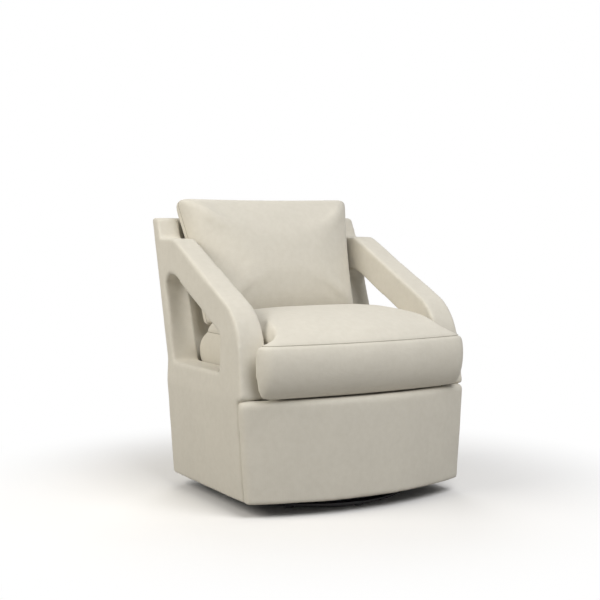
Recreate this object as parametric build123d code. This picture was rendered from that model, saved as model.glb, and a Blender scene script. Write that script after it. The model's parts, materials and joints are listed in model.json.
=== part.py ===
from build123d import *
import os
from math import cos, radians, sin, sqrt, tan

# Upholstered swivel chair. Millimetres, +Z up, front towards -Y, origin on the floor under the middle.

# Base: a bowed front, straight sides that widen upwards, and rounded rear corners
FLOOR_GAP = 38.0
BASE_TOP = 303.0
BASE_HALF_TOP = 350.0
BASE_FLARE = 18.0
FRONT_CORNER_Y = -263.0
FRONT_BOW = 72.0
BASE_REAR_Y = 235.0
FRONT_CORNER_R = 14.0
REAR_CORNER_R = 50.0
BASE_PAD = 24.0
PANEL_ROLL_R = 15.0

# Arms: upright loops, each a front post, a sloping rail and a foot on the base
ARM_THICK = 80.0
ARM_LEAN_IN = 16.0
KNEE_Y = -230.0
KNEE_Z = 510.0
KNEE_R = 150.0
SLOPE_TOP_Y = 178.0
ARM_FLAT_Z = 706.0
SLOPE_BEND_R = 60.0
ARM_EDGE_R = 10.0
POST_REAR_Y = -133.0
OPENING_FLOOR_Z = 363.0
OPENING_SLOPE_Y = 163.0
ARM_BAND = 95.0
OPENING_REAR_Z = 613.0
OPENING_R = 30.0
OPENING_FLOOR_R = 10.0

# Back: a raked slab between and behind the arms
BACK_RISE = 59.0
BACK_RAKE = 19.0
BACK_FACE_Y = 276.0
BACK_DEPTH = 76.0
BACK_TOP_R = 26.0
BACK_LIP_R = 14.0
INSIDE_RECESS = 28.0
INSIDE_PAD = 16.0
BACK_RAIL_DEPTH = 16.0

# Frame timber
RAIL_THICK = 22.0
RAIL_TOP_Z = 284.0
ARM_TIMBER = 24.0
TIMBER_COVER = 26.0
SILL_TOP_Z = 330.0
POST_FRONT_Y = -205.0
POST_DEPTH = 50.0
RAIL_COVER = 34.0
ARM_RAIL_DEEP = 40.0
BACK_POST_COVER = 30.0
BACK_POST_DROP = 20.0
BACK_RAIL_TALL = 55.0
BLOCK_LEG = 150.0
BLOCK_TALL = 40.0
BOARD_THICK = 18.0

# Seat suspension and back webbing
DECK_THICK = 11.0
SPRING_WIRE_R = 2.0
SPRING_HALF = 22.0
SPRING_PITCH = 25.0
SPRING_BEND_R = 10.0
SPRING_SPACING = 90.0
SPRING_SIDE_COUNT = 2
SPRING_LEAD = 15.0
CLIP_WIDE = 16.0
CLIP_LONG = 14.0
CLIP_TALL = 7.6
STRAP_WIDE = 60.0
STRAP_SPACING = 110.0
STRAP_SIDE_COUNT = 2
STRAP_THICK = 1.5
STRAP_LAP = 12.0

# Swivel base: a ring on glides, crossed spokes and a ball race between two plates
AXIS_Y = -22.0
RING_R = 255.0
RING_WIDE = 24.0
RING_TALL = 8.0
RING_EDGE_R = 2.0
GLIDE_R = 11.0
GLIDE_TALL = 6.0
GLIDE_COUNT = 8
SPOKE_WIDE = 40.0
SPOKE_TALL = 6.0
SPOKE_INSET = 4.0
PLATE_SIDE = 180.0
PLATE_THICK = 3.0
BALL_R = 4.0
BALL_COUNT = 30
BALL_CIRCLE_R = 65.0
RACE_HALF = 10.0
RACE_TALL = 7.0
LOWER_GROOVE_GAP = 0.2
UPPER_GROOVE_GAP = 0.3
CAGE_THICK = 1.0
CAGE_HALF = 7.0
CAGE_HOLE_GAP = 0.3
RACE_SPACE = 2.0
PIN_R = 8.0
PIN_RUNNING_GAP = 0.05
PIN_FLANGE_R = 14.0
PIN_FLANGE_TALL = 3.0
PIN_HEAD_GAP = 0.3
BOARD_EYE_R = 20.0
BOLT_R = 4.0
BOLT_HEAD_R = 7.0
BOLT_HEAD_TALL = 4.0
BOLT_HOLE_GAP = 0.2
NUT_TALL = 5.0
SPOKE_BOLT_XY = 62.0
PLATE_BOLT_XY = 75.0
DUST_THICK = 1.0
DUST_EYE_R = 140.0

# Loose cushions
CUSHION_FRONT_Y = -360.6
CUSHION_EAR = 56.0
CUSHION_POST_GAP = 15.0
CUSHION_BOW = 26.0
CUSHION_CORNER_R = 52.0
CUSHION_REAR_Y = 170.0
CUSHION_SIDE_GAP = 2.0
CUSHION_FOOT_IN = 44.0
CUSHION_FOOT_SIDE_IN = 22.0
CUSHION_FOOT_SWEEP = 70.0
CUSHION_FOOT_STEPS = 3
CUSHION_GIRTH = 92.0
CUSHION_SEAM = 142.0
CUSHION_SEAM_IN = 14.0
CUSHION_SEAM_SIDE_IN = 4.0
CUSHION_SEAM_REAR_IN = 36.0
CUSHION_CROWN = 203.0
CROWN_STEPS = 3
CROWN_START = 40.0
CROWN_FRONT_IN = 140.0
CROWN_SIDE_IN = 26.0
CROWN_REAR_IN = 90.0
CROWN_EAR = 1.0
CROWN_EAR_DEEP = 2.0
PILLOW_LOW_Z = 438.0
PILLOW_LOW_IN = 20.0
PILLOW_TOP_OUT = 18.0
PILLOW_TALL = 386.0
PILLOW_BACK_DEEP = 59.0
PILLOW_FACE_DEEP = 85.0
PILLOW_DRAW_IN = 5.0
PILLOW_WAIST_IN = 9.0
PILLOW_CORNER_R = 16.0
PILLOW_BACK_IN = 60.0
PILLOW_FACE_IN = 110.0
PILLOW_SWEEP = 80.0
PILLOW_STEPS = 3

# Small clearances between neighbours
SEAT_GAP = 0.3
COVER_GAP = 0.25

BASE_HALF_LOW = BASE_HALF_TOP - BASE_FLARE
ARM_INNER_X = BASE_HALF_TOP - ARM_THICK
ARM_TOP_HALF = BASE_HALF_TOP - ARM_LEAN_IN
TIMBER_INNER_X = ARM_INNER_X + TIMBER_COVER
RAKE = tan(radians(BACK_RAKE))
BACK_TOP_Z = ARM_FLAT_Z + BACK_RISE
BACK_POST_TOP_Z = BACK_TOP_Z - BACK_POST_DROP
ARM_SLOPE = (ARM_FLAT_Z - KNEE_Z) / (SLOPE_TOP_Y - KNEE_Y)
RAIL_INSET = BASE_PAD + COVER_GAP
FRAME_INSET = RAIL_INSET + RAIL_THICK
PILLOW_HALF_LOW = ARM_INNER_X - PILLOW_LOW_IN
PILLOW_HALF_TOP = ARM_INNER_X + PILLOW_TOP_OUT
INSIDE_REAR = INSIDE_RECESS + INSIDE_PAD
BACK_TIMBER = INSIDE_REAR + 2 * SEAT_GAP + STRAP_THICK
SKIN_START = BACK_TIMBER + BACK_RAIL_DEPTH + COVER_GAP
OVERSHOOT = 2 * BASE_HALF_TOP

RING_LOW = GLIDE_TALL
SPOKE_LOW = RING_LOW + RING_TALL
PLATE_LOW = SPOKE_LOW + SPOKE_TALL
RACE_LOW = PLATE_LOW + PLATE_THICK
RACE_TOP = RACE_LOW + RACE_TALL
BALL_Z = RACE_TOP + RACE_SPACE / 2
UPPER_RACE_LOW = RACE_TOP + RACE_SPACE
UPPER_PLATE_LOW = UPPER_RACE_LOW + RACE_TALL
BOARD_LOW = UPPER_PLATE_LOW + PLATE_THICK
BOARD_TOP = BOARD_LOW + BOARD_THICK


def back_face_y(z):
    return BACK_FACE_Y + (z - ARM_FLAT_Z) * RAKE


def back_rear_z(y):
    return ARM_FLAT_Z + (y - BACK_FACE_Y - BACK_DEPTH) / RAKE


def arm_top_z(y):
    return KNEE_Z + (y - KNEE_Y) * ARM_SLOPE


def base_half(z):
    rise = (z - FLOOR_GAP) / (BASE_TOP - FLOOR_GAP)
    return BASE_HALF_LOW + (BASE_HALF_TOP - BASE_HALF_LOW) * rise


def bow_centre(half):
    radius = (half**2 + FRONT_BOW**2) / (2 * FRONT_BOW)
    return radius, FRONT_CORNER_Y - FRONT_BOW + radius


def plan_face(z, inset):
    """The base's plan at a height, drawn in by an inset, with concentric corners."""
    half = base_half(z)
    radius, centre_y = bow_centre(half)
    radius -= inset
    half -= inset
    corner_y = centre_y - sqrt(radius**2 - half**2)
    rear_y = BASE_REAR_Y - inset
    front = ThreePointArc((-half, corner_y), (0, centre_y - radius), (half, corner_y))
    right = Line((half, corner_y), (half, rear_y))
    rear = Line((half, rear_y), (-half, rear_y))
    left = Line((-half, rear_y), (-half, corner_y))
    face = make_face([front, right, rear, left])
    if inset < FRONT_CORNER_R:
        face = fillet(face.vertices().group_by(Axis.Y)[0], FRONT_CORNER_R - inset)
    if inset < REAR_CORNER_R:
        face = fillet(face.vertices().group_by(Axis.Y)[-1], REAR_CORNER_R - inset)
    return Pos(0, 0, z) * face


def base_solid(inset, low, high):
    return loft([plan_face(low, inset), plan_face(high, inset)], ruled=True)


def slab(low, high):
    """A box between two opposite corners."""
    size = [b - a for a, b in zip(low, high)]
    centre = [(a + b) / 2 for a, b in zip(low, high)]
    return Pos(*centre) * Box(*size)


def side_plate(points, x_low, x_high, radii=None):
    """A profile in Y and Z, thickened along X. Each radius rounds the corner at its place in the list."""
    face = make_face(Polyline(*[(y, z) for y, z in points], close=True))
    for (y, z), radius in zip(points, radii or []):
        if radius:
            corner = face.vertices().sort_by_distance((y, z))[0]
            face = fillet(corner, radius)
    plate = extrude(Plane.YZ * face, x_high - x_low)
    return Pos(x_low, 0, 0) * plate


def raked_strip(start, end, low_z, high_z, half):
    """A strip along the raked back between two depths behind its face."""
    low_y = back_face_y(low_z)
    high_y = back_face_y(high_z)
    points = [(low_y + start, low_z), (low_y + end, low_z), (high_y + end, high_z), (high_y + start, high_z)]
    return side_plate(points, -half, half)


def upright(radius, low, high, x=0.0, y=0.0):
    seat = (Align.CENTER, Align.CENTER, Align.MIN)
    return Pos(x, AXIS_Y + y, low) * Cylinder(radius, high - low, align=seat)


def ring(outer, inner, low, high):
    return upright(outer, low, high) - upright(inner, low, high)


def group(pieces):
    return Compound(children=[piece.solid() for piece in pieces])


def square_points(half):
    return [(half, half), (-half, half), (-half, -half), (half, -half)]


def mirrored(shape):
    return mirror(shape, about=Plane.YZ)


def base_wall():
    return base_solid(0, FLOOR_GAP, BASE_TOP) - base_solid(BASE_PAD, FLOOR_GAP, BASE_TOP)


def front_panel():
    cut_y = FRONT_CORNER_Y + BASE_PAD - COVER_GAP
    region = slab((-OVERSHOOT, -OVERSHOOT, 0), (OVERSHOOT, cut_y, BASE_TOP + OVERSHOOT))
    panel = base_wall() & region
    top_edges = panel.edges().group_by(Axis.Z)[-1]
    front_edge = top_edges.sort_by(Axis.Y)[0]
    return fillet(front_edge, PANEL_ROLL_R)


def arm_profile():
    """The outside of the arm and wing from the side, with the rounding of each corner."""
    top_y = back_face_y(BACK_TOP_Z)
    rear_top_y = top_y + BACK_DEPTH
    corners = [
        (FRONT_CORNER_Y, BASE_TOP, 0),
        (KNEE_Y, KNEE_Z, KNEE_R),
        (SLOPE_TOP_Y, ARM_FLAT_Z, SLOPE_BEND_R),
        (BACK_FACE_Y, ARM_FLAT_Z, BACK_LIP_R),
        (top_y, BACK_TOP_Z, BACK_LIP_R),
        (rear_top_y, BACK_TOP_Z, BACK_TOP_R),
        (BASE_REAR_Y, back_rear_z(BASE_REAR_Y), 0),
        (BASE_REAR_Y, BASE_TOP, 0),
    ]
    return [(y, z) for y, z, _ in corners], [radius for _, _, radius in corners]


def opening_profile():
    slope_z = arm_top_z(OPENING_SLOPE_Y) - ARM_BAND
    post_top_z = arm_top_z(POST_REAR_Y) - ARM_BAND
    corners = [
        (POST_REAR_Y, OPENING_FLOOR_Z, OPENING_FLOOR_R),
        (POST_REAR_Y, post_top_z, OPENING_R),
        (OPENING_SLOPE_Y, slope_z, OPENING_R),
        (back_face_y(OPENING_REAR_Z), OPENING_REAR_Z, OPENING_R),
        (back_face_y(OPENING_FLOOR_Z), OPENING_FLOOR_Z, OPENING_FLOOR_R),
    ]
    return [(y, z) for y, z, _ in corners], [radius for _, _, radius in corners]


def arm_timbers():
    """The right arm's frame: a sill, a post, a bent rail and a raked back post."""
    outer_x = TIMBER_INNER_X + ARM_TIMBER
    post_rear_y = POST_FRONT_Y + POST_DEPTH
    rail_drop = RAIL_COVER + ARM_RAIL_DEEP
    flat_top = ARM_FLAT_Z - RAIL_COVER
    flat_low = flat_top - ARM_RAIL_DEEP
    back_start = BACK_POST_COVER
    back_end = BACK_POST_COVER + ARM_TIMBER
    sill_rear_y = back_face_y(SILL_TOP_Z) + back_end
    sill = slab((TIMBER_INNER_X, POST_FRONT_Y, RAIL_TOP_Z), (outer_x, sill_rear_y, SILL_TOP_Z))
    post = side_plate([
        (POST_FRONT_Y, SILL_TOP_Z),
        (post_rear_y, SILL_TOP_Z),
        (post_rear_y, arm_top_z(post_rear_y) - rail_drop),
        (POST_FRONT_Y, arm_top_z(POST_FRONT_Y) - rail_drop),
    ], TIMBER_INNER_X, outer_x)
    rail = side_plate([
        (POST_FRONT_Y, arm_top_z(POST_FRONT_Y) - RAIL_COVER),
        (SLOPE_TOP_Y, flat_top),
        (back_face_y(flat_top) + back_start, flat_top),
        (back_face_y(flat_low) + back_start, flat_low),
        (SLOPE_TOP_Y, flat_low),
        (POST_FRONT_Y, arm_top_z(POST_FRONT_Y) - rail_drop),
    ], TIMBER_INNER_X, outer_x)
    back_low = back_face_y(SILL_TOP_Z)
    back_high = back_face_y(BACK_POST_TOP_Z)
    back_post = side_plate([
        (back_low + back_start, SILL_TOP_Z),
        (back_low + back_end, SILL_TOP_Z),
        (back_high + back_end, BACK_POST_TOP_Z),
        (back_high + back_start, BACK_POST_TOP_Z),
    ], TIMBER_INNER_X, outer_x)
    return {"arm_sill": sill, "front_post": post, "arm_rail": rail, "back_post": back_post}


def back_rails():
    low = SILL_TOP_Z
    high = BACK_POST_TOP_Z - BACK_RAIL_TALL
    end = BACK_TIMBER + BACK_RAIL_DEPTH
    return {
        "back_lower_rail": raked_strip(BACK_TIMBER, end, low, low + BACK_RAIL_TALL, TIMBER_INNER_X),
        "back_top_rail": raked_strip(BACK_TIMBER, end, high, BACK_POST_TOP_Z, TIMBER_INNER_X),
    }


def arm_envelope():
    """The space that the right arm fills: it leans in, rakes back and keeps the base's rear corner."""
    bend_z = back_rear_z(BASE_REAR_Y)
    lean = (ARM_TOP_HALF - BASE_HALF_TOP) / (BACK_TOP_Z - BASE_TOP)
    bend_x = BASE_HALF_TOP + lean * (bend_z - BASE_TOP)
    prisms = []
    stages = ((BASE_TOP, bend_z, BASE_HALF_TOP, 0), (bend_z, BACK_TOP_Z, bend_x, RAKE))
    for low, high, outer_x, rake in stages:
        plan = make_face(Polyline(
            (0, -OVERSHOOT), (outer_x, -OVERSHOOT), (outer_x, BASE_REAR_Y), (0, BASE_REAR_Y), close=True,
        ))
        corner = plan.vertices().sort_by_distance((outer_x, BASE_REAR_Y))[0]
        plan = Pos(0, 0, low) * fillet(corner, REAR_CORNER_R)
        run = (high - low) * sqrt(1 + lean**2 + rake**2)
        prisms.append(extrude(plan, run, dir=(lean, rake, 1)))
    return prisms[0] + prisms[1]


def arm_cover(timbers, rails):
    """The right arm's padded cover, with the side of the base below it."""
    points, radii = arm_profile()
    plate = side_plate(points, ARM_INNER_X, BASE_HALF_TOP, radii) & arm_envelope()
    middle_x = (ARM_INNER_X + ARM_TOP_HALF) / 2
    outer = plate.edges().filter_by(GeomType.LINE).filter_by(lambda edge: edge.center().X > middle_x)
    plate = fillet(outer.sort_by(Axis.Y)[0], ARM_EDGE_R)
    points, radii = opening_profile()
    plate -= side_plate(points, 0, OVERSHOOT, radii)
    cut_y = FRONT_CORNER_Y + BASE_PAD
    side = base_wall() & slab((ARM_INNER_X, cut_y, 0), (OVERSHOOT, OVERSHOOT, BASE_TOP))
    cover = plate + side
    for piece in list(timbers.values()) + list(rails.values()):
        cover -= piece
    return cover


def back_slab():
    """The back between the arms from the side: raked face and rear, with a rounded top."""
    top_y = back_face_y(BACK_TOP_Z)
    return side_plate([
        (top_y + INSIDE_RECESS, BACK_TOP_Z),
        (top_y + BACK_DEPTH, BACK_TOP_Z),
        (BASE_REAR_Y, back_rear_z(BASE_REAR_Y)),
        (BASE_REAR_Y, BASE_TOP),
        (back_face_y(BASE_TOP) + INSIDE_RECESS, BASE_TOP),
    ], COVER_GAP - ARM_INNER_X, ARM_INNER_X - COVER_GAP, [BACK_LIP_R, BACK_TOP_R])


def inside_back():
    step_z = BACK_POST_TOP_Z + COVER_GAP
    pad = raked_strip(0, INSIDE_REAR, BASE_TOP, BACK_TOP_Z, ARM_INNER_X)
    cap = raked_strip(0, SKIN_START - COVER_GAP, step_z, BACK_TOP_Z, ARM_INNER_X)
    return back_slab() & (pad + cap)


def outside_back():
    half = ARM_INNER_X - COVER_GAP
    skin = back_slab() & raked_strip(SKIN_START, OVERSHOOT, BASE_TOP, BACK_TOP_Z, ARM_INNER_X)
    lower = base_wall() & slab((-half, 0, 0), (half, OVERSHOOT, BASE_TOP))
    return skin + lower


def frame_rails():
    ring_frame = base_solid(RAIL_INSET, BOARD_TOP, RAIL_TOP_Z)
    ring_frame -= base_solid(FRAME_INSET, BOARD_TOP, RAIL_TOP_Z)
    front_y = FRONT_CORNER_Y + FRAME_INSET
    rear_y = BASE_REAR_Y - FRAME_INSET
    far = OVERSHOOT
    return {
        "front_rail": ring_frame & slab((-far, -far, 0), (far, front_y, far)),
        "back_rail": ring_frame & slab((-far, rear_y, 0), (far, far, far)),
        "side_rail_right": ring_frame & slab((0, front_y, 0), (far, rear_y, far)),
        "side_rail_left": ring_frame & slab((-far, front_y, 0), (0, rear_y, far)),
    }


def corner_blocks():
    core = base_solid(FRAME_INSET + COVER_GAP, RAIL_TOP_Z - BLOCK_TALL, RAIL_TOP_Z)
    blocks = []
    for side in (-1, 1):
        x = side * BASE_HALF_TOP
        for y, step in ((FRONT_CORNER_Y, BLOCK_LEG), (BASE_REAR_Y, -BLOCK_LEG)):
            corner = make_face(Polyline((x, y), (x - side * BLOCK_LEG, y), (x, y + step), close=True))
            prism = extrude(corner, RAIL_TOP_Z)
            blocks.append(core & prism)
    return group(blocks)


def swivel_board():
    board = base_solid(RAIL_INSET, BOARD_LOW, BOARD_TOP)
    board -= upright(BOARD_EYE_R, BOARD_LOW, BOARD_TOP)
    for x, y in square_points(PLATE_BOLT_XY):
        board -= upright(BOLT_R + BOLT_HOLE_GAP, BOARD_LOW, BOARD_TOP, x, y)
    return board


def dust_cover():
    low = BOARD_LOW - DUST_THICK
    return base_solid(RAIL_INSET, low, BOARD_LOW) - upright(DUST_EYE_R, low, BOARD_LOW)


def seat_deck():
    low = BASE_TOP - DECK_THICK
    half = ARM_INNER_X - COVER_GAP
    rear_y = back_face_y(BASE_TOP) + INSIDE_RECESS - COVER_GAP
    plan = base_solid(RAIL_INSET, low, BASE_TOP)
    return plan & slab((-half, -OVERSHOOT, 0), (half, rear_y, OVERSHOOT))


def spring_places():
    """Where each spring's two clips sit, on the middle of the bowed front rail and of the back rail."""
    middle = RAIL_INSET + RAIL_THICK / 2
    radius, centre_y = bow_centre(base_half(RAIL_TOP_Z))
    places = []
    for index in range(-SPRING_SIDE_COUNT, SPRING_SIDE_COUNT + 1):
        x = index * SPRING_SPACING
        front_y = centre_y - sqrt((radius - middle)**2 - x**2)
        places.append((x, front_y, BASE_REAR_Y - middle))
    return places


def seat_springs():
    z = RAIL_TOP_Z + CLIP_TALL / 2
    springs = []
    for x, front_y, rear_y in spring_places():
        start = front_y + CLIP_LONG / 2
        end = rear_y - CLIP_LONG / 2
        count = int((end - start - 2 * SPRING_LEAD) // SPRING_PITCH)
        first = (start + end - count * SPRING_PITCH) / 2
        points = [(x, start, z), (x, first, z)]
        side = 1
        for turn in range(count):
            y = first + turn * SPRING_PITCH
            points += [(x + side * SPRING_HALF, y, z), (x + side * SPRING_HALF, y + SPRING_PITCH, z)]
            side = -side
        points += [(x, first + count * SPRING_PITCH, z), (x, end, z)]
        path = FilletPolyline(*points, radius=SPRING_BEND_R)
        section = Plane(origin=points[0], z_dir=(0, 1, 0)) * Circle(SPRING_WIRE_R)
        springs.append(sweep(section, path))
    return group(springs)


def spring_clips():
    clips = []
    for x, front_y, rear_y in spring_places():
        for y in (front_y, rear_y):
            low = (x - CLIP_WIDE / 2, y - CLIP_LONG / 2, RAIL_TOP_Z)
            high = (x + CLIP_WIDE / 2, y + CLIP_LONG / 2, RAIL_TOP_Z + CLIP_TALL)
            clips.append(slab(low, high))
    return group(clips)


def back_webbing():
    start = INSIDE_REAR + SEAT_GAP
    low = SILL_TOP_Z + STRAP_LAP
    high = BACK_POST_TOP_Z - STRAP_LAP
    strip = raked_strip(start, start + STRAP_THICK, low, high, STRAP_WIDE / 2)
    places = range(-STRAP_SIDE_COUNT, STRAP_SIDE_COUNT + 1)
    return group([Pos(index * STRAP_SPACING, 0, 0) * strip for index in places])


def cushion_corner(front_in):
    """The radius of the cushion's front corners, smaller where its front is drawn in."""
    return CUSHION_CORNER_R - min(front_in, CUSHION_FOOT_IN)


def cushion_outline(z, front_in, side_in, rear_in, ear, ear_rear):
    """The seat cushion's plan: a bowed front with round corners, and a body between the arm posts."""
    body = ARM_INNER_X - CUSHION_SIDE_GAP - side_in
    front = CUSHION_FRONT_Y + front_in
    rear = CUSHION_REAR_Y - rear_in
    wide = body + ear
    corner = cushion_corner(front_in)
    bow_y = front + CUSHION_BOW
    turn = corner * (1 - cos(radians(45)))
    return Pos(0, 0, z) * make_face([
        ThreePointArc((-wide + corner, bow_y), (0, front), (wide - corner, bow_y)),
        ThreePointArc((wide - corner, bow_y), (wide - turn, bow_y + turn), (wide, bow_y + corner)),
        Line((wide, bow_y + corner), (wide, ear_rear)),
        Line((wide, ear_rear), (body, ear_rear)),
        Line((body, ear_rear), (body, rear)),
        Line((body, rear), (-body, rear)),
        Line((-body, rear), (-body, ear_rear)),
        Line((-body, ear_rear), (-wide, ear_rear)),
        Line((-wide, ear_rear), (-wide, bow_y + corner)),
        ThreePointArc((-wide, bow_y + corner), (-wide + turn, bow_y + turn), (-wide + corner, bow_y)),
    ])


def seat_cushion():
    """A boxed cushion: drawn in at its foot, fullest at its girth, and crowned above its top seam."""
    low = BASE_TOP + SEAT_GAP
    ear_rear = FRONT_CORNER_Y - CUSHION_POST_GAP
    boxing = []
    sweep_angle = radians(CUSHION_FOOT_SWEEP)
    for step in range(CUSHION_FOOT_STEPS, -1, -1):
        angle = sweep_angle * step / CUSHION_FOOT_STEPS
        z = low + CUSHION_GIRTH * (1 - sin(angle) / sin(sweep_angle))
        share = (1 - cos(angle)) / (1 - cos(sweep_angle))
        front_in = CUSHION_FOOT_IN * share
        side_in = CUSHION_FOOT_SIDE_IN * share
        boxing.append(cushion_outline(z, front_in, side_in, front_in, CUSHION_EAR, ear_rear))
    boxing.append(cushion_outline(
        low + CUSHION_SEAM,
        CUSHION_SEAM_IN,
        CUSHION_SEAM_SIDE_IN,
        CUSHION_SEAM_REAR_IN,
        CUSHION_EAR,
        ear_rear,
    ))
    crown = [boxing[-1]]
    start = radians(CROWN_START)
    for step in range(1, CROWN_STEPS + 1):
        angle = start + (radians(90) - start) * step / CROWN_STEPS
        share = 1 - cos(angle) / cos(start)
        rise = (sin(angle) - sin(start)) / (1 - sin(start))
        front_in = CUSHION_SEAM_IN + CROWN_FRONT_IN * share
        corner_rear = CUSHION_FRONT_Y + front_in + CUSHION_BOW + cushion_corner(front_in)
        crown.append(cushion_outline(
            low + CUSHION_SEAM + (CUSHION_CROWN - CUSHION_SEAM) * rise,
            front_in,
            CUSHION_SEAM_SIDE_IN + CROWN_SIDE_IN * share,
            CUSHION_SEAM_REAR_IN + CROWN_REAR_IN * share,
            CROWN_EAR,
            corner_rear + CROWN_EAR_DEEP,
        ))
    return loft(boxing) + loft(crown)


def pillow_outline(depth, inset):
    """A pillow's outline at a depth in front of the back, its sides drawn in between the corners."""
    half_low = PILLOW_HALF_LOW - inset
    half_top = PILLOW_HALF_TOP - inset
    low = inset
    high = PILLOW_TALL - inset
    pull = PILLOW_DRAW_IN
    waist = ((half_low + half_top) / 2 - PILLOW_WAIST_IN, (low + high) / 2)
    face = make_face([
        ThreePointArc((-half_low, low), (0, low + pull), (half_low, low)),
        ThreePointArc((half_low, low), waist, (half_top, high)),
        ThreePointArc((half_top, high), (0, high - pull), (-half_top, high)),
        ThreePointArc((-half_top, high), (-waist[0], waist[1]), (-half_low, low)),
    ])
    face = fillet(face.vertices(), PILLOW_CORNER_R)
    lean = radians(BACK_RAKE)
    normal = Vector(0, -cos(lean), sin(lean))
    start = Vector(0, back_face_y(PILLOW_LOW_Z) + INSIDE_RECESS, PILLOW_LOW_Z) + normal * depth
    return Plane(origin=start, x_dir=(1, 0, 0), z_dir=normal) * face


def back_pillow():
    """A loose pillow leaning on the back between the wings, flatter behind its edge than in front of it."""
    outlines = []
    for step in range(-PILLOW_STEPS, PILLOW_STEPS + 1):
        angle = radians(PILLOW_SWEEP * step / PILLOW_STEPS)
        deep, swell = (PILLOW_FACE_DEEP, PILLOW_FACE_IN) if step > 0 else (PILLOW_BACK_DEEP, PILLOW_BACK_IN)
        depth = PILLOW_BACK_DEEP + deep * sin(angle) / sin(radians(PILLOW_SWEEP))
        outlines.append(pillow_outline(SEAT_GAP + depth, swell * (1 - cos(angle))))
    return loft(outlines)


def floor_base():
    """What stays still: the ring on its glides, the spokes, the lower plate, its race, balls and pin."""
    ring_top = RING_LOW + RING_TALL
    floor_ring = ring(RING_R, RING_R - RING_WIDE, RING_LOW, ring_top)
    floor_ring = fillet(floor_ring.edges().filter_by(GeomType.CIRCLE).group_by(Axis.Z)[-1], RING_EDGE_R)
    middle = RING_R - RING_WIDE / 2
    turns = [radians(360 * index / GLIDE_COUNT) for index in range(GLIDE_COUNT)]
    glides = [upright(GLIDE_R, 0, GLIDE_TALL, middle * cos(turn), middle * sin(turn)) for turn in turns]
    reach = 2 * (RING_R - SPOKE_INSET)
    bar = Box(reach, SPOKE_WIDE, SPOKE_TALL, align=(Align.CENTER, Align.CENTER, Align.MIN))
    cross = Rot(0, 0, 45) * bar + Rot(0, 0, -45) * bar
    cross = Pos(0, AXIS_Y, SPOKE_LOW) * cross
    plate = Box(PLATE_SIDE, PLATE_SIDE, PLATE_THICK, align=(Align.CENTER, Align.CENTER, Align.MIN))
    plate = Pos(0, AXIS_Y, PLATE_LOW) * plate
    bolts = []
    nuts = []
    nut_low = SPOKE_LOW - NUT_TALL
    for x, y in square_points(SPOKE_BOLT_XY):
        hole = upright(BOLT_R + BOLT_HOLE_GAP, nut_low, RACE_LOW, x, y)
        cross -= hole
        plate -= hole
        head = upright(BOLT_HEAD_R, RACE_LOW, RACE_LOW + BOLT_HEAD_TALL, x, y)
        bolts.append(head + upright(BOLT_R, nut_low, RACE_LOW, x, y))
        nuts.append(upright(BOLT_HEAD_R, nut_low, SPOKE_LOW, x, y) - hole)
    groove = Pos(0, AXIS_Y, BALL_Z) * Torus(BALL_CIRCLE_R, BALL_R + LOWER_GROOVE_GAP)
    race = ring(BALL_CIRCLE_R + RACE_HALF, BALL_CIRCLE_R - RACE_HALF, RACE_LOW, RACE_TOP) - groove
    cage_low = BALL_Z - CAGE_THICK / 2
    cage = ring(BALL_CIRCLE_R + CAGE_HALF, BALL_CIRCLE_R - CAGE_HALF, cage_low, cage_low + CAGE_THICK)
    balls = []
    for index in range(BALL_COUNT):
        turn = radians(360 * index / BALL_COUNT)
        x = BALL_CIRCLE_R * cos(turn)
        y = BALL_CIRCLE_R * sin(turn)
        balls.append(Pos(x, AXIS_Y + y, BALL_Z) * Sphere(BALL_R))
        cage -= upright(BALL_R + CAGE_HOLE_GAP, cage_low, cage_low + CAGE_THICK, x, y)
    head_low = BOARD_LOW + PIN_HEAD_GAP
    pin = upright(PIN_FLANGE_R, RACE_LOW, RACE_LOW + PIN_FLANGE_TALL)
    pin += upright(PIN_R, RACE_LOW, head_low)
    pin += upright(PIN_FLANGE_R, head_low, head_low + PIN_FLANGE_TALL)
    return {
        "floor_ring": floor_ring,
        "ring_glides": group(glides),
        "ring_spokes": cross,
        "lower_swivel_plate": plate,
        "lower_race": race,
        "bearing_balls": group(balls),
        "ball_cage": cage,
        "swivel_pin": pin,
        "spoke_bolts": group(bolts),
        "spoke_nuts": group(nuts),
    }


def turning_plate():
    """What turns on the balls: the upper race and plate, bolted to the board."""
    groove = Pos(0, AXIS_Y, BALL_Z) * Torus(BALL_CIRCLE_R, BALL_R + UPPER_GROOVE_GAP)
    outer = BALL_CIRCLE_R + RACE_HALF
    race = ring(outer, BALL_CIRCLE_R - RACE_HALF, UPPER_RACE_LOW, UPPER_PLATE_LOW) - groove
    plate = Box(PLATE_SIDE, PLATE_SIDE, PLATE_THICK, align=(Align.CENTER, Align.CENTER, Align.MIN))
    plate = Pos(0, AXIS_Y, UPPER_PLATE_LOW) * plate
    plate -= upright(PIN_R + PIN_RUNNING_GAP, UPPER_PLATE_LOW, BOARD_LOW)
    bolts = []
    nuts = []
    nut_top = BOARD_TOP + NUT_TALL
    for x, y in square_points(PLATE_BOLT_XY):
        hole = upright(BOLT_R + BOLT_HOLE_GAP, UPPER_PLATE_LOW, nut_top, x, y)
        plate -= hole
        head = upright(BOLT_HEAD_R, UPPER_PLATE_LOW - BOLT_HEAD_TALL, UPPER_PLATE_LOW, x, y)
        bolts.append(head + upright(BOLT_R, UPPER_PLATE_LOW, nut_top, x, y))
        nuts.append(upright(BOLT_HEAD_R, BOARD_TOP, nut_top, x, y) - hole)
    return {
        "upper_race": race,
        "upper_swivel_plate": plate,
        "swivel_bolts": group(bolts),
        "swivel_nuts": group(nuts),
    }


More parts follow.
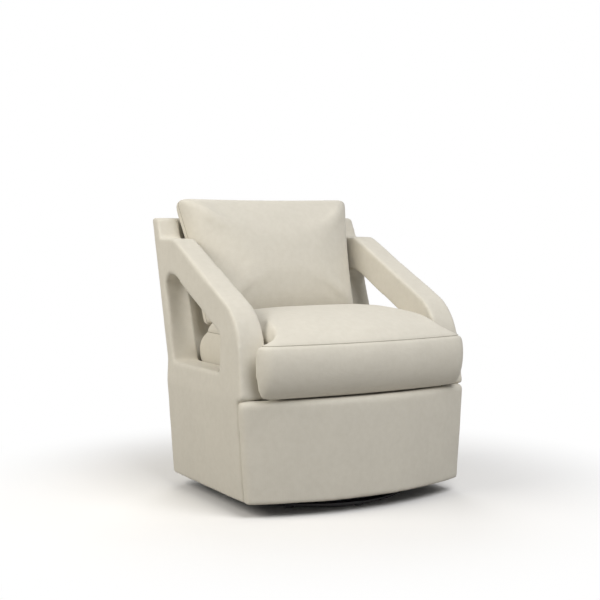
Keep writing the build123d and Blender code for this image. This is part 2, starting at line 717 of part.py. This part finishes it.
def build():
    os.makedirs("parts", exist_ok=True)
    timbers = arm_timbers()
    rails = back_rails()
    right_arm = arm_cover(timbers, rails)
    nodes = {
        "front_panel": front_panel(),
        "arm_cover_right": right_arm,
        "arm_cover_left": mirrored(right_arm),
        "inside_back": inside_back(),
        "outside_back": outside_back(),
        "seat_deck": seat_deck(),
        "dust_cover": dust_cover(),
        "swivel_board": swivel_board(),
        "corner_blocks": corner_blocks(),
        "seat_springs": seat_springs(),
        "spring_clips": spring_clips(),
        "back_webbing": back_webbing(),
        "seat_cushion": seat_cushion(),
        "back_pillow": back_pillow(),
    }
    nodes.update(floor_base())
    nodes.update(turning_plate())
    nodes.update(frame_rails())
    nodes.update(rails)
    for name, piece in timbers.items():
        nodes[name + "_right"] = piece
        nodes[name + "_left"] = mirrored(piece)
    for name, piece in nodes.items():
        export_step(piece, f"parts/{name}.step")


build()
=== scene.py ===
"""Upholstery, finishes, light and camera for a swivel armchair with open arms."""

import json
import math

import bmesh
import bpy
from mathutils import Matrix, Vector, noise


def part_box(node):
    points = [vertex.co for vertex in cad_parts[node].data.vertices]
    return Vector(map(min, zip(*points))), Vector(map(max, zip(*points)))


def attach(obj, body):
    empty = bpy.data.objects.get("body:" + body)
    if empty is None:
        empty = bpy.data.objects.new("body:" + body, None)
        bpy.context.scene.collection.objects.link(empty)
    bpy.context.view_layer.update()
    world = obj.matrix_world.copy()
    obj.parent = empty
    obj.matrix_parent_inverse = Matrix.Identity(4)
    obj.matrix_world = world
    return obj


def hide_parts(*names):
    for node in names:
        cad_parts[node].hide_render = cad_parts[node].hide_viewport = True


bl_info = {
    "name": "Swivel Armchair",
    "version": (1, 0, 0),
    "blender": (4, 5, 0),
    "location": "3D View > Sidebar > Chair",
    "description": "Dresses the frame of a swivel armchair: covers, cushions, seams, finishes and stage",
    "category": "Object",
}

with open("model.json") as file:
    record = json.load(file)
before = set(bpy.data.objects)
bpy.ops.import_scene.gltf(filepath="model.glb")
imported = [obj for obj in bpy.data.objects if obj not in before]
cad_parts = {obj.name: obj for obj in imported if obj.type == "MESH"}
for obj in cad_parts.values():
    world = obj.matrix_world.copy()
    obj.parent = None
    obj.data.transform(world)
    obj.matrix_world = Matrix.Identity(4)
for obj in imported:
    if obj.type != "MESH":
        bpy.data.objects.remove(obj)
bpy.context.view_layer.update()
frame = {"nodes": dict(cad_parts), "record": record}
MM = 0.001

# Loose cushions: where their seams run and where they rest on the chair
CUSHION_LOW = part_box("seat_cushion")[0]
PILLOW_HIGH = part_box("back_pillow")[1]
PILLOW_RAKE = math.radians(19)
PILLOW_EDGE_DEPTH = 36 * MM
PILLOW_LEAN_DEPTH = -15 * MM
CUSHION_SEAM_RISE = 142 * MM
CUSHION_FOOT_RISE = 20 * MM
PILLOW_PLUMP = 0

# Meshing, filling and sewing
WELD_DISTANCE = 0.01 * MM
LEAST_POINTS = 100
SMOOTH_SHARE = 0.5
CUT_SOFTNESS = 4
FILLED_SOFTNESS = 3
PADDING_WAVE = 70 * MM
CLOTH_QUALITY = 4
FILL_FRAMES = 20
LEAST_MOVE = 1e-9
SEAM_HOLD = 0.6
PLUMP_SLACK = 0.3 * MM
SEAM_REACH = 9 * MM
SEAM_LEAST_SLOPE = 0.1
SEAM_FACETS = 2

# Yarn spacing and depth of the woven cloths
COVER_YARN = 2.0 * MM
COVER_YARN_DEPTH = 0.5 * MM
SEAM_YARN_DEPTH = 0.3 * MM
LINING_YARN = 1.5 * MM
DUST_YARN_DEPTH = 0.2 * MM
WEBBING_YARN_DEPTH = 0.3 * MM

# Stage: floor, lamps and camera, in metres
FLOOR_HALF = 14.0
FLOOR_GRID = 8
FLOOR_WHITE_FROM = 0.45
FLOOR_WHITE_AT = 1.15
ROOM_LIGHT = 0.23
ROOM_SEEN = 1.0
WHITE = (1.0, 1.0, 1.0)
WARM_WHITE = (1.0, 0.965, 0.89)
LAMP_TARGET = Vector((0, 0, 0.4))
CAMERA_PLACE = (-1.705, -2.918, 0.765)
CAMERA_TILT = math.radians(90 - 3.915)
CAMERA_TURN = math.radians(-29.887)
CAMERA_LENS = 71.6
CAMERA_SENSOR = 36.0


class ChairSizes(bpy.types.PropertyGroup):
    """Sizes of the upholstery that a user may change."""

    cover_voxel: bpy.props.FloatProperty(
        name="Cover mesh",
        description="Spacing of the mesh on the tight covers",
        default=5.0 * MM,
        unit="LENGTH",
    )
    cushion_voxel: bpy.props.FloatProperty(
        name="Cushion mesh",
        description="Spacing of the mesh on the loose cushions",
        default=7.0 * MM,
        unit="LENGTH",
    )
    cover_softness: bpy.props.IntProperty(
        name="Edge softness", description="Rounds of smoothing over the padded edges", default=4
    )
    cover_loft: bpy.props.FloatProperty(
        name="Loft", description="How far the wadding lifts the tight covers", default=0.9 * MM, unit="LENGTH"
    )
    unevenness: bpy.props.FloatProperty(
        name="Unevenness", description="How far the padding is out of true", default=0.9 * MM, unit="LENGTH"
    )
    swell: bpy.props.FloatProperty(
        name="Swell",
        description="How far the filling may push the cloth out",
        default=22.0 * MM,
        unit="LENGTH",
    )
    seat_pressure: bpy.props.FloatProperty(
        name="Seat filling", description="Push of the filling in the seat cushion", default=1.0
    )
    seat_plump: bpy.props.IntProperty(
        name="Seat plumping", description="Rounds of evening out the seat cushion's crown", default=60
    )
    pillow_pressure: bpy.props.FloatProperty(
        name="Pillow filling", description="Push of the filling in the back pillow", default=1.3
    )
    shrink: bpy.props.FloatProperty(
        name="Cut allowance",
        description="How much smaller a cushion is cut than it fills to",
        default=3.0 * MM,
        unit="LENGTH",
    )
    seam_radius: bpy.props.FloatProperty(
        name="Seam", description="Half the width of a sewn seam", default=0.8 * MM, unit="LENGTH"
    )
    seam_groove: bpy.props.FloatProperty(
        name="Seam groove", description="How deep a seam draws the cloth in", default=2.2 * MM, unit="LENGTH"
    )


class ChairColours(bpy.types.PropertyGroup):
    """Colours as sRGB hex values."""

    cloth: bpy.props.StringProperty(name="Cloth", description="Pale oatmeal cloth", default="#DBD6CA")
    cloth_fleck: bpy.props.StringProperty(
        name="Fleck", description="Darker yarn in the cloth", default="#CEC8BA"
    )
    # Painted shade: the seam colour is the cloth darkened to stand for the shadow line in a seam's groove
    seam: bpy.props.StringProperty(name="Seam", description="Shaded cloth in a seam", default="#A39D8F")
    timber: bpy.props.StringProperty(name="Timber", description="Planed beech frame", default="#B8925F")
    timber_grain: bpy.props.StringProperty(name="Grain", description="Darker growth rings", default="#99744A")
    black_steel: bpy.props.StringProperty(
        name="Ring", description="Satin black powder coat", default="#17171A"
    )
    zinc: bpy.props.StringProperty(
        name="Zinc", description="Zinc plated bearing and bolts", default="#A9ABAE"
    )
    wire: bpy.props.StringProperty(name="Wire", description="Oil-tempered spring wire", default="#5C5A57")
    dust_cloth: bpy.props.StringProperty(
        name="Dust cloth", description="Black spun-bonded cloth", default="#1B1B1C"
    )
    webbing: bpy.props.StringProperty(name="Webbing", description="Elastic back webbing", default="#3A332C")
    floor: bpy.props.StringProperty(name="Floor", description="Pale studio floor", default="#F6F5F4")
    floor_bounce: bpy.props.StringProperty(
        name="Floor bounce", description="The floor as it throws light back on the chair", default="#A8A6A2"
    )


def sizes():
    return bpy.context.scene.chair_sizes


def colours():
    return bpy.context.scene.chair_colours


def linear(code):
    """An sRGB hex value as a linear colour."""
    channels = []
    for start in (1, 3, 5):
        value = int(code[start : start + 2], 16) / 255
        channels.append(value / 12.92 if value <= 0.04045 else ((value + 0.055) / 1.055) ** 2.4)
    return (*channels, 1.0)


def shaded(colour, share):
    """A colour made darker or lighter by a share of itself."""
    return tuple(min(1.0, channel * share) for channel in colour[:3]) + (1.0,)


def add_node(tree, kind, links=None, stops=(), **settings):
    """Adds a node. Settings name its properties or, where it has none of that name, its inputs."""
    node = tree.nodes.new(kind)
    for name, value in settings.items():
        if hasattr(node, name):
            setattr(node, name, value)
        else:
            node.inputs[name.replace("_", " ")].default_value = value
    for place, (position, colour) in enumerate(stops):
        node.color_ramp.elements[place].position = position
        node.color_ramp.elements[place].color = colour
    for name, source in (links or {}).items():
        tree.links.new(source, node.inputs[name])
    return node


def new_material(name, **settings):
    """A material with its shader, the shader's own sockets set, and Object coordinates to build on."""
    material = bpy.data.materials.new(name)
    material.use_nodes = True
    tree = material.node_tree
    shader = tree.nodes["Principled BSDF"]
    for socket, value in settings.items():
        shader.inputs[socket.replace("_", " ")].default_value = value
    place = add_node(tree, "ShaderNodeTexCoord").outputs["Object"]
    return material, tree, shader, place


def seen_rays(tree):
    """1 for rays that show the background: straight to the camera, or by a mirror or glass."""
    path = add_node(tree, "ShaderNodeLightPath")
    total = path.outputs["Is Camera Ray"]
    for kind in ("Is Glossy Ray", "Is Transmission Ray"):
        step = add_node(tree, "ShaderNodeMath", {0: total, 1: path.outputs[kind]}, operation="MAXIMUM")
        total = step.outputs[0]
    return total


def woven_cloth(name, colour, fleck, thread, depth):
    """Plain-woven linen blend: slubby yarns both ways, dull, with a faint sheen of loose fibre."""
    material, tree, shader, place = new_material(
        name, Roughness=0.88, Sheen_Weight=0.18, Sheen_Roughness=0.5, Specular_IOR_Level=0.22
    )
    bands = []
    for axis in "XYZ":
        wave = add_node(
            tree,
            "ShaderNodeTexWave",
            {"Vector": place},
            wave_type="BANDS",
            bands_direction=axis,
            Scale=math.pi / (10 * thread),
            Distortion=3.0,
            Detail=1.0,
            Detail_Scale=2.0,
        )
        bands.append(wave.outputs["Fac"])
    pair = add_node(tree, "ShaderNodeMath", {0: bands[0], 1: bands[1]}, operation="ADD")
    weave = add_node(tree, "ShaderNodeMath", {0: pair.outputs[0], 1: bands[2]}, operation="ADD")
    slub = add_node(
        tree, "ShaderNodeTexNoise", {"Vector": place}, Scale=0.12 / thread, Detail=4.0, Roughness=0.6
    )
    cloud = add_node(tree, "ShaderNodeTexNoise", {"Vector": place}, Scale=9.0, Detail=2.0)
    yarn = add_node(
        tree, "ShaderNodeValToRGB", {"Fac": slub.outputs["Fac"]}, stops=((0.34, fleck), (0.66, colour))
    )
    shade = add_node(
        tree,
        "ShaderNodeValToRGB",
        {"Fac": cloud.outputs["Fac"]},
        stops=((0.3, shaded(colour, 0.97)), (0.7, shaded(colour, 1.02))),
    )
    blend = add_node(
        tree,
        "ShaderNodeMix",
        {"A": shade.outputs["Color"], "B": yarn.outputs["Color"]},
        data_type="RGBA",
        Factor=0.3,
    )
    tree.links.new(blend.outputs["Result"], shader.inputs["Base Color"])
    bump = add_node(tree, "ShaderNodeBump", {"Height": weave.outputs[0]}, Strength=0.22, Distance=depth)
    tree.links.new(bump.outputs["Normal"], shader.inputs["Normal"])
    return material


def planed_beech(name, colour, grain):
    """Beech, planed and left bare: close grain in long streaks, dull."""
    material, tree, shader, place = new_material(name, Roughness=0.62, Specular_IOR_Level=0.4)
    stretch = add_node(tree, "ShaderNodeMapping", {"Vector": place}, Scale=(1.0, 0.12, 1.0))
    streak = add_node(
        tree, "ShaderNodeTexNoise", {"Vector": stretch.outputs["Vector"]}, Scale=90.0, Detail=5.0
    )
    height = streak.outputs["Fac"]
    tone = add_node(tree, "ShaderNodeValToRGB", {"Fac": height}, stops=((0.35, grain), (0.7, colour)))
    tree.links.new(tone.outputs["Color"], shader.inputs["Base Color"])
    bump = add_node(tree, "ShaderNodeBump", {"Height": height}, Strength=0.15, Distance=0.2 * MM)
    tree.links.new(bump.outputs["Normal"], shader.inputs["Normal"])
    return material


def coated_steel(name, colour, metallic, roughness, grit):
    """Steel under powder coat or plating: a fine orange-peel grit and a small change of gloss."""
    material, tree, shader, place = new_material(name, Metallic=metallic)
    peel = add_node(tree, "ShaderNodeTexNoise", {"Vector": place}, Scale=1 / grit, Detail=3.0)
    height = peel.outputs["Fac"]
    tone = add_node(
        tree, "ShaderNodeValToRGB", {"Fac": height}, stops=((0.3, shaded(colour, 0.8)), (0.7, colour))
    )
    tree.links.new(tone.outputs["Color"], shader.inputs["Base Color"])
    gloss = add_node(
        tree, "ShaderNodeMapRange", {"Value": height}, To_Min=roughness - 0.06, To_Max=roughness + 0.06
    )
    tree.links.new(gloss.outputs["Result"], shader.inputs["Roughness"])
    bump = add_node(tree, "ShaderNodeBump", {"Height": height}, Strength=0.12, Distance=0.1 * MM)
    tree.links.new(bump.outputs["Normal"], shader.inputs["Normal"])
    return material


def upholstery_cloth():
    """The one cloth on every cover. Its 1 mm yarn is too fine to show, so it is drawn at twice that."""
    found = bpy.data.materials.get("oatmeal_linen_weave")
    if found:
        return found
    shades = colours()
    return woven_cloth(
        "oatmeal_linen_weave", linear(shades.cloth), linear(shades.cloth_fleck), COVER_YARN, COVER_YARN_DEPTH
    )


def painted_seam_shade_cloth():
    """The same cloth darkened as painted shade, the shadow line along a seam, drawn at twice its yarn as the
    cover is.
    """
    found = bpy.data.materials.get("painted_seam_shade_weave")
    if found:
        return found
    # Painted shade: the darker seam colour, and its fleck darker still, stand for the shadow in the seam's
    # groove
    shade = linear(colours().seam)
    return woven_cloth("painted_seam_shade_weave", shade, shaded(shade, 0.9), COVER_YARN, SEAM_YARN_DEPTH)


def new_object(name, mesh):
    piece = bpy.data.objects.new(name, mesh)
    bpy.context.scene.collection.objects.link(piece)
    return piece


def node_copy(node, name):
    """A separate, welded copy of a frame node's mesh."""
    shell = bmesh.new()
    shell.from_mesh(frame["nodes"][node].data)
    bmesh.ops.remove_doubles(shell, verts=shell.verts, dist=WELD_DISTANCE)
    mesh = bpy.data.meshes.new(name)
    shell.to_mesh(mesh)
    shell.free()
    return new_object(name, mesh)


def apply_modifiers(piece):
    """Bakes a piece's modifiers into its mesh."""
    bpy.context.view_layer.update()
    evaluated = piece.evaluated_get(bpy.context.evaluated_depsgraph_get())
    mesh = bpy.data.meshes.new_from_object(evaluated)
    piece.modifiers.clear()
    old = piece.data
    piece.data = mesh
    bpy.data.meshes.remove(old)
    mesh.name = piece.name


def remesh(piece, spacing):
    modifier = piece.modifiers.new("Even mesh", "REMESH")
    modifier.mode = "VOXEL"
    modifier.voxel_size = spacing
    apply_modifiers(piece)
    if len(piece.data.vertices) < LEAST_POINTS:
        raise RuntimeError(f"{piece.name}: the even mesh came out empty")


def outer_skin(shell):
    """Leaves only the largest connected skin, without the hollows for the timber."""
    left = set(shell.verts)
    skins = []
    while left:
        front = [left.pop()]
        skin = set(front)
        while front:
            reached = {e.other_vert(v) for v in front for e in v.link_edges} & left
            left -= reached
            skin |= reached
            front = list(reached)
        skins.append(skin)
    largest = max(skins, key=len)
    bmesh.ops.delete(shell, geom=[v for v in shell.verts if v not in largest], context="VERTS")


def soften(shell, rounds):
    for _ in range(rounds):
        bmesh.ops.smooth_vert(
            shell, verts=shell.verts, factor=SMOOTH_SHARE, use_axis_x=True, use_axis_y=True, use_axis_z=True
        )


def uneven(shell, loft, depth, wavelength):
    """Padding lifts the cloth and is never quite true: each point moves a little along its normal."""
    shell.normal_update()
    for vertex in shell.verts:
        vertex.co += vertex.normal * (loft + depth * noise.noise(vertex.co / wavelength))


def clothe(piece, cloth):
    """Puts one cloth on a piece and shades it smooth."""
    piece.data.materials.clear()
    piece.data.materials.append(cloth)
    for polygon in piece.data.polygons:
        polygon.use_smooth = True


def finish_piece(piece, body, node):
    """Covers a padded piece and lets it ride its body in place of its frame node."""
    clothe(piece, upholstery_cloth())
    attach(piece, body)
    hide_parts(node)


def tight_cover(node):
    """A padded cover pulled tight over the frame: even mesh, soft edges and slightly uneven padding."""
    piece = node_copy(node, node + "_cloth")
    remesh(piece, sizes().cover_voxel)
    shell = bmesh.new()
    shell.from_mesh(piece.data)
    outer_skin(shell)
    soften(shell, sizes().cover_softness)
    uneven(shell, sizes().cover_loft, sizes().unevenness, PADDING_WAVE)
    shell.to_mesh(piece.data)
    shell.free()
    finish_piece(piece, "chair", node)


def drawn_in(piece, depth):
    """Cuts a cushion smaller than it fills to."""
    shell = bmesh.new()
    shell.from_mesh(piece.data)
    shell.normal_update()
    for vertex in shell.verts:
        vertex.co -= vertex.normal * depth
    soften(shell, CUT_SOFTNESS)
    shell.to_mesh(piece.data)
    shell.free()


def fill_by_pressure(piece, pins, pressure):
    """Fills a cushion by cloth simulation with its seams held, and caps how far a point moves."""
    scene = bpy.context.scene
    start = [vertex.co.copy() for vertex in piece.data.vertices]
    held = piece.vertex_groups.new(name="held_seams")
    held.add(pins, 1.0, "REPLACE")
    cloth = piece.modifiers.new("Filling", "CLOTH")
    cloth.settings.quality = CLOTH_QUALITY
    cloth.settings.use_pressure = True
    cloth.settings.uniform_pressure_force = pressure
    cloth.settings.effector_weights.gravity = 0.0
    cloth.settings.vertex_group_mass = "held_seams"
    cloth.collision_settings.use_collision = False
    cloth.point_cache.frame_end = FILL_FRAMES
    for number in range(1, FILL_FRAMES + 1):
        scene.frame_set(number)
    evaluated = piece.evaluated_get(bpy.context.evaluated_depsgraph_get())
    filled = bpy.data.meshes.new_from_object(evaluated)
    for vertex, before in zip(filled.vertices, start):
        move = vertex.co - before
        vertex.co = before + move * min(1.0, sizes().swell / max(move.length, LEAST_MOVE))
    piece.modifiers.clear()
    piece.vertex_groups.clear()
    piece.data = filled
    scene.frame_set(1)


def plump(shell, point, normal, rounds):
    """Stuffing leaves no dip beyond a seam: a point well below the mean of its neighbours rises to it."""
    lifted = [vertex for vertex in shell.verts if (vertex.co - point).dot(normal) > 0]
    for _ in range(rounds):
        for vertex in lifted:
            around = [edge.other_vert(vertex).co.dot(normal) for edge in vertex.link_edges]
            rise = sum(around) / len(around) - vertex.co.dot(normal)
            if rise > PLUMP_SLACK:
                vertex.co += normal * rise


def section(piece, point, normal, name):
    """The closed line where a plane meets a piece, as a thin round seam."""
    shell = bmesh.new()
    shell.from_mesh(piece.data)
    cut = bmesh.ops.bisect_plane(
        shell, geom=shell.verts[:] + shell.edges[:] + shell.faces[:], plane_co=point, plane_no=normal
    )
    line = {part for part in cut["geom_cut"] if isinstance(part, bmesh.types.BMEdge)}
    bmesh.ops.delete(shell, geom=shell.faces[:], context="FACES_ONLY")
    bmesh.ops.delete(shell, geom=[e for e in shell.edges if e not in line], context="EDGES")
    bmesh.ops.delete(shell, geom=[v for v in shell.verts if not v.link_edges], context="VERTS")
    mesh = bpy.data.meshes.new(name)
    shell.to_mesh(mesh)
    shell.free()
    seam = new_object(name, mesh)
    bpy.context.view_layer.objects.active = seam
    bpy.ops.object.select_all(action="DESELECT")
    seam.select_set(True)
    bpy.ops.object.convert(target="CURVE")
    seam.data.bevel_depth = sizes().seam_radius
    seam.data.bevel_resolution = SEAM_FACETS
    bpy.ops.object.convert(target="MESH")
    return seam


def sew(piece, body, point, normal, name):
    """Draws the cloth in along a plane and lays the sewn seam in the groove."""
    depth = sizes().seam_groove
    shell = bmesh.new()
    shell.from_mesh(piece.data)
    shell.normal_update()
    for vertex in shell.verts:
        away = abs((vertex.co - point).dot(normal)) / SEAM_REACH
        slope = 1 - abs(vertex.normal.dot(normal))
        if away < 1 and slope > SEAM_LEAST_SLOPE:
            vertex.co -= vertex.normal * depth * (1 - away) ** 2
    shell.to_mesh(piece.data)
    shell.free()
    seam = section(piece, point, normal, name)
    # The seam is clothed in painted shade: a darker cloth for the shadow line along it
    clothe(seam, painted_seam_shade_cloth())
    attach(seam, body)


def stuffed_cushion(node, seam, rest, pressure, plump_rounds):
    """A loose cushion: cut small, filled where it doesn't rest on the chair, smoothed and sewn."""
    piece = node_copy(node, node + "_cloth")
    remesh(piece, sizes().cushion_voxel)
    drawn_in(piece, sizes().shrink)
    rest_point, rest_normal = rest
    point, normal, seam_name = seam
    hold = SEAM_HOLD * sizes().cushion_voxel
    pins = []
    for vertex in piece.data.vertices:
        resting = (vertex.co - rest_point).dot(rest_normal) < 0
        if resting or abs((vertex.co - point).dot(normal)) < hold:
            pins.append(vertex.index)
    fill_by_pressure(piece, pins, pressure)
    shell = bmesh.new()
    shell.from_mesh(piece.data)
    plump(shell, point, normal, plump_rounds)
    soften(shell, FILLED_SOFTNESS)
    shell.to_mesh(piece.data)
    shell.free()
    smooth = piece.modifiers.new("Round", "SUBSURF")
    smooth.levels = smooth.render_levels = 1
    apply_modifiers(piece)
    finish_piece(piece, node, node)
    sew(piece, node, point, normal, seam_name)


class CHAIR_OT_cover_frame(bpy.types.Operator):
    """Pull the padded covers over the arms, the back and the base"""

    bl_idname = "chair.cover_frame"
    bl_label = "Cover the frame"

    def execute(self, context):
        for node in ("arm_cover_right", "arm_cover_left", "front_panel", "inside_back", "outside_back"):
            tight_cover(node)
        deck = frame["nodes"]["seat_deck"]
        deck.data.materials.clear()
        deck.data.materials.append(upholstery_cloth())
        return {"FINISHED"}


class CHAIR_OT_fill_cushions(bpy.types.Operator):
    """Fill and sew the seat cushion and the back pillow"""

    bl_idname = "chair.fill_cushions"
    bl_label = "Fill the cushions"

    def execute(self, context):
        level = Vector((0, 0, 1))
        stuffed_cushion(
            "seat_cushion",
            (Vector((0, 0, CUSHION_LOW.z + CUSHION_SEAM_RISE)), level, "seat_cushion_top_seam"),
            (Vector((0, 0, CUSHION_LOW.z + CUSHION_FOOT_RISE)), level),
            sizes().seat_pressure,
            sizes().seat_plump,
        )
        across = Vector((0, -math.cos(PILLOW_RAKE), math.sin(PILLOW_RAKE)))
        corner = Vector((0, PILLOW_HIGH.y, PILLOW_HIGH.z))
        stuffed_cushion(
            "back_pillow",
            (corner + across * PILLOW_EDGE_DEPTH, across, "back_pillow_edge_seam"),
            (corner + across * PILLOW_LEAN_DEPTH, across),
            sizes().pillow_pressure,
            PILLOW_PLUMP,
        )
        return {"FINISHED"}


class CHAIR_OT_finish_frame(bpy.types.Operator):
    """Finish the ring base, the bearing and the frame under the covers"""

    bl_idname = "chair.finish_frame"
    bl_label = "Finish the frame"

    def execute(self, context):
        shades = colours()
        black = linear(shades.black_steel)
        dust = linear(shades.dust_cloth)
        finishes = {
            "black_steel": coated_steel("satin_black_powder_coat", black, 0.0, 0.42, 1.2 * MM),
            "bearing_steel": coated_steel("zinc_plated_steel", linear(shades.zinc), 1.0, 0.38, 2.0 * MM),
            "spring_steel": coated_steel("oil_tempered_wire", linear(shades.wire), 1.0, 0.45, 1.5 * MM),
            "glide_plastic": coated_steel("moulded_nylon", black, 0.0, 0.6, 0.8 * MM),
            "timber": planed_beech("planed_beech", linear(shades.timber), linear(shades.timber_grain)),
            "dust_cloth": woven_cloth("spun_bonded_cloth", dust, black, LINING_YARN, DUST_YARN_DEPTH),
            "webbing": woven_cloth(
                "elastic_webbing", linear(shades.webbing), dust, LINING_YARN, WEBBING_YARN_DEPTH
            ),
        }
        for part in frame["record"]["subparts"]:
            finish = finishes.get(part["material_slot"])
            if finish:
                mesh = frame["nodes"][part["node"]].data
                mesh.materials.clear()
                mesh.materials.append(finish)
        return {"FINISHED"}


class CHAIR_OT_set_stage(bpy.types.Operator):
    """Lay the floor, set the studio light and place the camera"""

    bl_idname = "chair.set_stage"
    bl_label = "Set the stage"

    def execute(self, context):
        scene = context.scene
        scene.view_settings.view_transform = "Standard"
        self.lay_floor()
        self.light_room(scene)
        self.hang_lamp(scene, "left_soft", Vector((-2.7, 0.1, 2.1)), 2.2, 55, WARM_WHITE)
        self.hang_lamp(scene, "front_high", Vector((0.2, -2.2, 2.9)), 2.4, 73, WHITE)
        self.hang_lamp(scene, "rear_soft", Vector((1.2, 2.7, 2.0)), 2.2, 32, WHITE)
        lens = bpy.data.cameras.new("photo_camera")
        lens.sensor_width = CAMERA_SENSOR
        lens.lens = CAMERA_LENS
        camera = bpy.data.objects.new("photo_camera", lens)
        scene.collection.objects.link(camera)
        camera.location = CAMERA_PLACE
        camera.rotation_euler = (CAMERA_TILT, 0, CAMERA_TURN)
        scene.camera = camera
        return {"FINISHED"}

    def lay_floor(self):
        """A matt floor that keeps the chair's shadow and turns pure white further out."""
        shell = bmesh.new()
        bmesh.ops.create_grid(shell, x_segments=FLOOR_GRID, y_segments=FLOOR_GRID, size=FLOOR_HALF)
        mesh = bpy.data.meshes.new("studio_floor")
        shell.to_mesh(mesh)
        shell.free()
        floor = new_object("studio_floor", mesh)
        material, tree, shader, place = new_material(
            "matt_studio_paint", Roughness=0.9, Specular_IOR_Level=0.1
        )
        mottle = add_node(tree, "ShaderNodeTexNoise", {"Vector": place}, Scale=2.0, Detail=2.0)
        tone = linear(colours().floor)
        mottled = add_node(
            tree,
            "ShaderNodeValToRGB",
            {"Fac": mottle.outputs["Fac"]},
            stops=((0.3, shaded(tone, 0.985)), (0.7, tone)),
        )
        paint = add_node(
            tree,
            "ShaderNodeMix",
            {"Factor": seen_rays(tree), "B": mottled.outputs["Color"]},
            data_type="RGBA",
            A=linear(colours().floor_bounce),
        )
        tree.links.new(paint.outputs["Result"], shader.inputs["Base Color"])
        distance = add_node(tree, "ShaderNodeVectorMath", {"Vector": place}, operation="LENGTH")
        fade = add_node(
            tree,
            "ShaderNodeMapRange",
            {"Value": distance.outputs["Value"]},
            interpolation_type="SMOOTHSTEP",
            From_Min=FLOOR_WHITE_FROM,
            From_Max=FLOOR_WHITE_AT,
        )
        share = add_node(
            tree, "ShaderNodeMath", {0: fade.outputs["Result"], 1: seen_rays(tree)}, operation="MULTIPLY"
        )
        white = add_node(tree, "ShaderNodeEmission", Color=(*WHITE, 1.0), Strength=1.0)
        mix = add_node(
            tree,
            "ShaderNodeMixShader",
            {"Fac": share.outputs[0], 1: shader.outputs["BSDF"], 2: white.outputs["Emission"]},
        )
        tree.links.new(mix.outputs["Shader"], tree.nodes["Material Output"].inputs["Surface"])
        mesh.materials.append(material)

    def light_room(self, scene):
        """An even white room: dim as light on the chair, pure white where it is seen."""
        world = bpy.data.worlds.new("white_studio")
        scene.world = world
        world.use_nodes = True
        tree = world.node_tree
        background = tree.nodes["Background"]
        strength = add_node(
            tree, "ShaderNodeMapRange", {"Value": seen_rays(tree)}, To_Min=ROOM_LIGHT, To_Max=ROOM_SEEN
        )
        tree.links.new(strength.outputs["Result"], background.inputs["Strength"])
        background.inputs["Color"].default_value = (*WHITE, 1.0)

    def hang_lamp(self, scene, name, place, width, power, tint):
        """A round soft lamp aimed at the middle of the chair."""
        light = bpy.data.lights.new(name, "AREA")
        light.color = tint
        light.shape = "DISK"
        light.size = width
        light.energy = power
        lamp = bpy.data.objects.new(name, light)
        lamp.location = place
        lamp.rotation_euler = (LAMP_TARGET - place).to_track_quat("-Z", "Y").to_euler()
        scene.collection.objects.link(lamp)


class CHAIR_PT_build(bpy.types.Panel):
    """Steps that dress the chair, with their sizes and colours"""

    bl_idname = "CHAIR_PT_build"
    bl_label = "Swivel armchair"
    bl_space_type = "VIEW_3D"
    bl_region_type = "UI"
    bl_category = "Chair"

    def draw(self, context):
        for step in STEPS:
            self.layout.operator(step.bl_idname)
        for group in (context.scene.chair_sizes, context.scene.chair_colours):
            box = self.layout.box()
            for name in group.bl_rna.properties.keys():
                if name not in ("rna_type", "name"):
                    box.prop(group, name)


STEPS = (CHAIR_OT_cover_frame, CHAIR_OT_fill_cushions, CHAIR_OT_finish_frame, CHAIR_OT_set_stage)
CLASSES = (ChairSizes, ChairColours, *STEPS, CHAIR_PT_build)


def register():
    for item in CLASSES:
        bpy.utils.register_class(item)
    bpy.types.Scene.chair_sizes = bpy.props.PointerProperty(type=ChairSizes)
    bpy.types.Scene.chair_colours = bpy.props.PointerProperty(type=ChairColours)


def unregister():
    del bpy.types.Scene.chair_colours
    del bpy.types.Scene.chair_sizes
    for item in reversed(CLASSES):
        bpy.utils.unregister_class(item)


def main():
    register()
    bpy.ops.chair.cover_frame()
    bpy.ops.chair.fill_cushions()
    bpy.ops.chair.finish_frame()
    bpy.ops.chair.set_stage()


if __name__ == "__main__":
    main()
